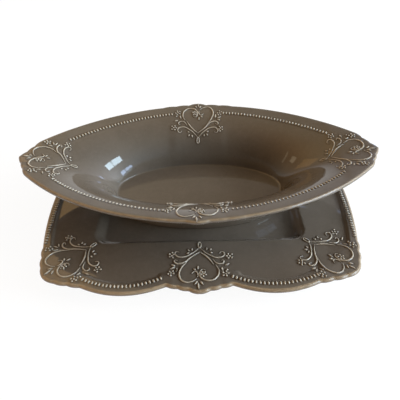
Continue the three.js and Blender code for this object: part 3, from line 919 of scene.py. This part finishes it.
FLOOR_SIZE = 12
FLOOR_WHITE = 0.9  # share of the floor that is plain white; the rest shows the shadow
FLOOR_GLOW = 1.03
WINDOW_FAR = 1.5
PANES = (  # azimuth, width, sill, top and colour of what shows in the glaze
    ("sky_pane_left", -7, 0.49, 1.02, 1.5, (10.0, 13.2, 15.5)),
    ("sky_pane_right", -27, 0.49, 1.02, 1.5, (10.0, 13.2, 15.5)),
    ("garden_pane_left", -24, 0.33, 0.08, 0.52, (5.0, 6.8, 10.0)),
    ("garden_pane_right", -38, 0.33, 0.08, 0.52, (5.0, 6.8, 10.0)),
    ("side_pane", 53, 0.14, 0.2, 0.7, (3.0, 4.2, 7.0)),
    ("tan_wall", 133, 1.0, 1.0, 2.0, (0.8, 0.42, 0.12)),
    ("door_pane", 178, 0.32, 1.25, 1.85, (1.3, 1.1, 0.75)),
    ("door_frame", -163, 0.08, 0.9, 2.0, (0.9, 0.75, 0.5)),
)
LOW_LIGHTS = (  # the same for lamps that light the object and don't show in its glaze
    ("low_window", -2, 1.0, 0.26, 0.68, (25, 31, 38)),
    ("low_lamp", -145, 1.0, 0.12, 0.46, (7, 5, 3.3)),
)
PAPER_TOP = (0.1, 0.44)  # white backdrop paper at the back ends softly between these heights
PAPER_DROP = 0.14  # and lower by this in front
GLOW_FALL = 8
GLOWS = (  # azimuth, elevation and colour of the room's soft glows
    (0, 8, (2.2, 2.5, 2.8)),
    (0, 35, (0.3, 0.3, 0.4)),
    (45, 8, (1.0, 1.05, 1.3)),
    (135, 8, (0.8, 0.63, 0.5)),
    (180, 8, (0.29, 0.38, 0.38)),
    (-45, 8, (0.24, 0.44, 0.62)),
    (180, 35, (0.28, 0.12, 0.0)),
    (135, 62, (0.55, 0.41, 0.17)),
    (180, 62, (0.40, 0.18, 0.08)),
    (-45, 62, (0.24, 0.19, 0.07)),
    (100, 42, (0.42, 0.35, 0.25)),
)
SOFT_LIGHT = (0, 8, (4.3, 4.7, 4.9))  # lights the object, and isn't seen in the glaze


def studio_floor():
    deselect_all()
    bpy.ops.mesh.primitive_plane_add(size=FLOOR_SIZE)
    floor = bpy.context.object
    floor.name = "studio_floor"
    material, tree, shader, _ = new_material("studio_floor")
    shader.inputs["Base Color"].default_value = (0.9, 0.9, 0.9, 1)
    shader.inputs["Roughness"].default_value = 0.9
    glow = add_node(tree, "ShaderNodeEmission", {"Strength": FLOOR_GLOW})
    shown = add_node(tree, "ShaderNodeMixShader", {"Fac": FLOOR_WHITE})
    tree.links.new(shader.outputs["BSDF"], shown.inputs[1])
    tree.links.new(glow.outputs["Emission"], shown.inputs[2])
    picked = add_node(tree, "ShaderNodeMixShader", Fac=seen_rays(tree))
    tree.links.new(shader.outputs["BSDF"], picked.inputs[1])
    tree.links.new(shown.outputs["Shader"], picked.inputs[2])
    tree.links.new(picked.outputs["Shader"], tree.nodes["Material Output"].inputs["Surface"])
    floor.data.materials.append(material)


def seen_rays(tree):
    """1 for rays from the camera and for those seen in gloss or through glass."""
    path = add_node(tree, "ShaderNodeLightPath")
    gloss = math_node(tree, "MAXIMUM", path.outputs["Is Glossy Ray"], path.outputs["Is Transmission Ray"])
    return math_node(tree, "MAXIMUM", path.outputs["Is Camera Ray"], gloss)


def glow(tree, way, azimuth, elevation, colour):
    """A soft glow in the world round one direction."""
    a, e = math.radians(azimuth), math.radians(elevation)
    middle = (math.cos(e) * math.cos(a), math.cos(e) * math.sin(a), math.sin(e))
    near = add_node(tree, "ShaderNodeVectorMath", {"operation": "DOT_PRODUCT"})
    tree.links.new(way, near.inputs[0])
    near.inputs[1].default_value = middle
    off = math_node(tree, "SUBTRACT", near.outputs["Value"], 1.0)
    share = math_node(tree, "EXPONENT", math_node(tree, "MULTIPLY", off, GLOW_FALL), 0.0)
    scaled = add_node(tree, "ShaderNodeVectorMath", {"operation": "SCALE"}, Scale=share)
    scaled.inputs[0].default_value = colour
    return scaled.outputs["Vector"]


def studio_world():
    world = bpy.data.worlds.new("studio_world")
    bpy.context.scene.world = world
    world.use_nodes = True
    tree = world.node_tree
    way = add_node(tree, "ShaderNodeTexCoord").outputs["Generated"]

    def added(first, second):
        both = add_node(tree, "ShaderNodeVectorMath", {"operation": "ADD"})
        tree.links.new(first, both.inputs[0])
        tree.links.new(second, both.inputs[1])
        return both.outputs["Vector"]

    room = glow(tree, way, *GLOWS[0])
    for each in GLOWS[1:]:
        room = added(room, glow(tree, way, *each))
    split = add_node(tree, "ShaderNodeSeparateXYZ", Vector=way)
    lower = ranged(tree, split.outputs["Y"], -0.2, 0.5, PAPER_DROP, 0.0)
    height = math_node(tree, "ADD", split.outputs["Z"], lower)
    backdrop = mixed(tree, ranged(tree, height, *PAPER_TOP), (1.0, 1.0, 1.0), room)
    shown = add_node(tree, "ShaderNodeBackground", {"Strength": 1.0}, Color=backdrop)
    lit = added(room, glow(tree, way, *SOFT_LIGHT))
    light = add_node(tree, "ShaderNodeBackground", {"Strength": 1.0}, Color=lit)
    picked = add_node(tree, "ShaderNodeMixShader", Fac=seen_rays(tree))
    tree.links.new(light.outputs["Background"], picked.inputs[1])
    tree.links.new(shown.outputs["Background"], picked.inputs[2])
    tree.links.new(picked.outputs["Shader"], tree.nodes["World Output"].inputs["Surface"])


def upright_lamp(name, azimuth, wide, sill, top, colour):
    """An upright area lamp that faces the dish."""
    a = math.radians(azimuth)
    out = Vector((math.cos(a), math.sin(a), 0))
    deselect_all()
    bpy.ops.object.light_add(type="AREA", location=out * WINDOW_FAR + Vector((0, 0, (sill + top) / 2)))
    lamp = bpy.context.object
    lamp.name = name
    lamp.data.shape = "RECTANGLE"
    lamp.data.size, lamp.data.size_y = wide, top - sill
    bright = max(colour)
    lamp.data.energy = bright * math.pi * wide * (top - sill)
    lamp.data.color = [share / bright for share in colour]
    lamp.rotation_euler = (-out).to_track_quat("-Z", "Y").to_euler()
    return lamp


def photo_camera():
    place = Vector((7.10, -331.31, 307.62)) * MM
    look = Vector((-0.01426, 0.74188, -0.67038))
    up = Vector((0.02391, 0.67051, 0.74152))
    focal_pixels, frame_pixels = 381.0, 400
    bpy.ops.object.camera_add(location=place)
    camera = bpy.context.object
    camera.data.sensor_width = 36
    camera.data.lens = focal_pixels / frame_pixels * camera.data.sensor_width
    camera.data.clip_start = 0.01
    right = look.cross(up).normalized()
    camera.rotation_euler = Matrix((right, right.cross(look), -look)).transposed().to_euler()
    bpy.context.scene.camera = camera


studio_floor()
studio_world()
for each in PANES:
    upright_lamp(*each).visible_diffuse = False
for each in LOW_LIGHTS:
    upright_lamp(*each).visible_glossy = False
photo_camera()
bpy.context.scene.view_settings.view_transform = "Standard"
